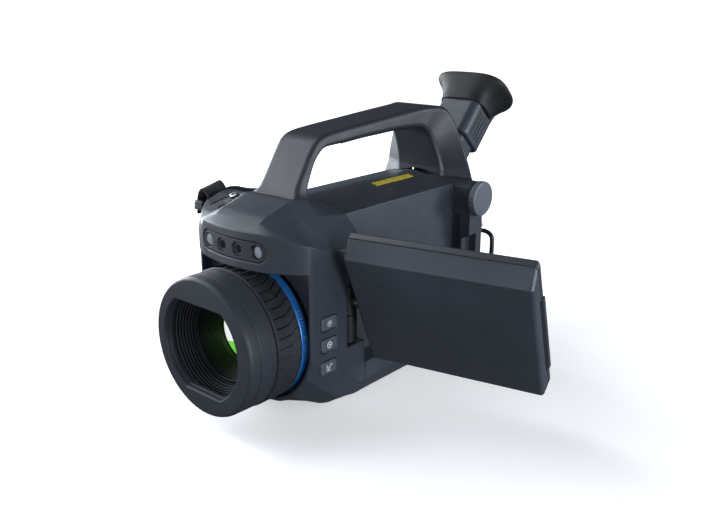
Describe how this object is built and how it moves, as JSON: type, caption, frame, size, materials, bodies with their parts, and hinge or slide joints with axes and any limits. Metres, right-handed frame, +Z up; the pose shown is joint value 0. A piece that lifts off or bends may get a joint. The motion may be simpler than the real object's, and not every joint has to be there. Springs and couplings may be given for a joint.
{
  "type": "thermal imaging camera",
  "caption": "Handheld camcorder-style thermal imaging camera: large infrared lens with focus ring, carrying handle, fold-out tilting screen, tilting viewfinder and hand strap.",
  "frame": {"origin": "on the base plane, straight below the lens axis, 126 mm ahead of the rear face", "axes": "+Z up, -Y towards the lens and the scene, +X towards the fold-out screen (the user's left)"},
  "size_m": [0.2885, 0.3529, 0.2261],
  "materials": {
    "housing": "fine-textured charcoal moulded plastic",
    "hood": "smooth satin black plastic",
    "screen_cover": "satin charcoal plastic",
    "screen_frame": "satin black plastic",
    "screen_glass": "dark glass over the display",
    "black_metal": "black anodised, fine threads",
    "tread_rubber": "ribbed black rubber",
    "blue_ring": "blue anodised",
    "germanium": "green-coated infrared lens",
    "sensor_bar": "satin",
    "lamp": "frosted",
    "dark_lens": "polished dark",
    "key_grey": "satin grey",
    "control_black": "satin black",
    "bright_metal": "polished",
    "steel": "brushed",
    "hinge_metal": "black painted",
    "knob": "satin, knurled rim",
    "inner_metal": "machined",
    "board": "printed circuit laminate",
    "battery": "satin",
    "marking": "yellow hatched marking",
    "webbing": "woven black nylon"
  },
  "bodies": {
    "root": {"front_housing": "housing", "main_body_shell": "housing", "top_handle": "housing", "handle_grip_pad": "tread_rubber", "sensor_bezel": "sensor_bar", "sensor_lamp_left": "lamp", "sensor_lamp_right": "lamp", "visual_camera_lens": "dark_lens", "laser_window": "dark_lens", "lens_hood": "hood", "hood_baffle": "black_metal", "inner_lens_barrel": "black_metal", "front_lens_element": "germanium", "lens_barrel": "black_metal", "blue_index_ring": "blue_ring", "lens_mount": "black_metal", "hinge_bracket": "hinge_metal", "hinge_pin": "steel", "viewfinder_pivot_shaft": "steel", "detector_module": "inner_metal", "stirling_cooler": "inner_metal", "main_circuit_board": "board", "battery_pack": "battery", "right_side_cover": "housing", "cover_screw_1": "steel", "cover_screw_2": "steel", "cover_screw_3": "steel", "cover_screw_4": "steel", "tripod_plate": "steel", "foot_left": "tread_rubber", "foot_right": "tread_rubber", "yellow_marking": "marking", "strap_bar_left": "hinge_metal", "strap_bar_screw": "bright_metal", "strap_bracket_front": "control_black", "strap_bracket_rear": "control_black", "strap_webbing": "webbing", "hand_strap": "webbing"},
    "focus_ring": {"focus_ring": "tread_rubber"},
    "button_light": {"button_light": "key_grey"},
    "button_preset": {"button_preset": "key_grey"},
    "button_measure": {"button_measure": "key_grey"},
    "record_button": {"record_button": "bright_metal"},
    "zoom_rocker": {"zoom_rocker": "control_black"},
    "screen_arm": {"hinge_knuckle": "hinge_metal", "screen_tilt_shaft": "steel"},
    "screen": {"screen_back_cover": "screen_cover", "screen_bezel": "screen_frame", "screen_glass": "screen_glass", "display_module": "inner_metal"},
    "viewfinder": {"viewfinder_arm": "housing", "viewfinder_sleeve": "housing", "eyecup": "tread_rubber", "eyepiece_lens": "dark_lens"},
    "viewfinder_knob": {"viewfinder_knob": "knob"},
    "battery_door": {"battery_door": "housing"},
    "battery_latch": {"battery_latch": "control_black"},
    "rear_mode_button": {"rear_mode_button": "key_grey"},
    "rear_nav_button": {"rear_nav_button": "key_grey"},
    "connector_flap": {"connector_flap": "tread_rubber"}
  },
  "joints": [
    {"name": "screen_swing", "type": "hinge", "parent": "root", "child": "screen_arm", "pos_m": [0.0482, -0.0389, 0.0788], "axis": [0, 0, -1], "range_deg": [-31, 12]},
    {"name": "screen_tilt", "type": "hinge", "parent": "screen_arm", "child": "screen", "pos_m": [0.0482, -0.0389, 0.0788], "axis": [-0.9784, -0.2069, 0], "range_deg": [0, 116]},
    {"name": "focus_turn", "type": "hinge", "parent": "root", "child": "focus_ring", "pos_m": [0, -0.097, 0.0586], "axis": [0, 1, 0], "range_deg": [-60, 60]},
    {"name": "button_light_press", "type": "slide", "parent": "root", "child": "button_light", "axis": [-1, 0, 0], "range_m": [0, 0.001]},
    {"name": "button_preset_press", "type": "slide", "parent": "root", "child": "button_preset", "axis": [-1, 0, 0], "range_m": [0, 0.001]},
    {"name": "button_measure_press", "type": "slide", "parent": "root", "child": "button_measure", "axis": [-1, 0, 0], "range_m": [0, 0.001]},
    {"name": "record_press", "type": "slide", "parent": "root", "child": "record_button", "axis": [0, 0.4229, -0.9062], "range_m": [0, 0.001]},
    {"name": "zoom_rock", "type": "hinge", "parent": "root", "child": "zoom_rocker", "pos_m": [-0.0348, -0.07776, 0.14126], "axis": [1, 0, 0], "range_deg": [-3.5, 3.5]},
    {"name": "viewfinder_tilt", "type": "hinge", "parent": "root", "child": "viewfinder", "pos_m": [0, 0.1147, 0.1286], "axis": [1, 0, 0], "range_deg": [-46, 6]},
    {"name": "viewfinder_knob_turn", "type": "hinge", "parent": "root", "child": "viewfinder_knob", "pos_m": [0.06, 0.1147, 0.1286], "axis": [1, 0, 0], "range_deg": [-150, 150]},
    {"name": "battery_door_open", "type": "hinge", "parent": "root", "child": "battery_door", "pos_m": [0, 0.126, 0.0078], "axis": [-1, 0, 0], "range_deg": [0, 100]},
    {"name": "battery_latch_slide", "type": "slide", "parent": "battery_door", "child": "battery_latch", "axis": [0, 0, -1], "range_m": [0, 0.004]},
    {"name": "rear_mode_press", "type": "slide", "parent": "root", "child": "rear_mode_button", "axis": [0, -1, 0], "range_m": [0, 0.001]},
    {"name": "rear_nav_press", "type": "slide", "parent": "root", "child": "rear_nav_button", "axis": [0, -1, 0], "range_m": [0, 0.001]},
    {"name": "connector_flap_open", "type": "hinge", "parent": "root", "child": "connector_flap", "pos_m": [-0.057, 0.04, 0.0184], "axis": [0, -1, 0], "range_deg": [0, 95]}
  ]
}
